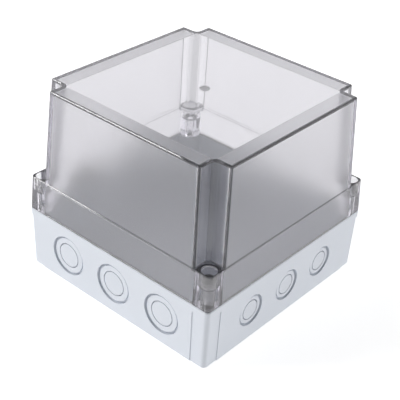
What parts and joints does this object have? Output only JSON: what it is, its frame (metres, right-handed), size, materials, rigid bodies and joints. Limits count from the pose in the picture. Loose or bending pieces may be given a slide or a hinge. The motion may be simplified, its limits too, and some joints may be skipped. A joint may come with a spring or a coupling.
{
  "type": "hinged enclosure",
  "caption": "Square wall enclosure: light grey polycarbonate base with metric knockouts and a tall hinged clear cover with notched corners and quarter-turn screws.",
  "frame": {"origin": "centre of the base's flat back face, on the wall or table that it stands on", "axes": "+Z from the back face out through the cover's window, +X from the hinged side to the opening side, +Y along the hinge pins"},
  "size_m": [0.1878, 0.181, 0.153],
  "materials": {
    "base_grey": "fine-grained light grey polycarbonate",
    "cover_clear": "smoke-clear polycarbonate, polished window and screw tubes, hazed walls",
    "seal_rubber": "soft foamed seal",
    "hinge_nylon": "light grey polyamide",
    "screw_nylon": "natural grey polyamide",
    "stainless": "plain stainless steel"
  },
  "bodies": {
    "base": {"base_housing": "base_grey", "cover_gasket": "seal_rubber", "hinge_base_leaf_a": "hinge_nylon", "hinge_pin_a": "stainless", "hinge_base_leaf_b": "hinge_nylon", "hinge_pin_b": "stainless", "hinge_base_screw_a1": "stainless", "hinge_base_screw_a2": "stainless", "hinge_base_screw_b1": "stainless", "hinge_base_screw_b2": "stainless"},
    "cover": {"clear_cover": "cover_clear", "hinge_cover_leaf_a": "hinge_nylon", "hinge_cover_leaf_b": "hinge_nylon", "hinge_cover_screw_a1": "stainless", "hinge_cover_screw_a2": "stainless", "hinge_cover_screw_b1": "stainless", "hinge_cover_screw_b2": "stainless"},
    "quarter_turn_screw_a": {"cover_screw_a": "screw_nylon", "screw_cross_pin_a": "stainless", "screw_o_ring_a": "seal_rubber"},
    "quarter_turn_screw_b": {"cover_screw_b": "screw_nylon", "screw_cross_pin_b": "stainless", "screw_o_ring_b": "seal_rubber"}
  },
  "joints": [
    {"name": "cover_hinge", "type": "hinge", "parent": "base", "child": "cover", "pos_m": [-0.0942, 0, 0.05015], "axis": [0, -1, 0], "range_deg": [0, 110]},
    {"name": "screw_turn_a", "type": "hinge", "parent": "cover", "child": "quarter_turn_screw_a", "pos_m": [0.0819, -0.0824, 0.065], "axis": [0, 0, -1], "range_deg": [0, 90]},
    {"name": "screw_turn_b", "type": "hinge", "parent": "cover", "child": "quarter_turn_screw_b", "pos_m": [0.0819, 0.0824, 0.065], "axis": [0, 0, -1], "range_deg": [0, 90]}
  ]
}
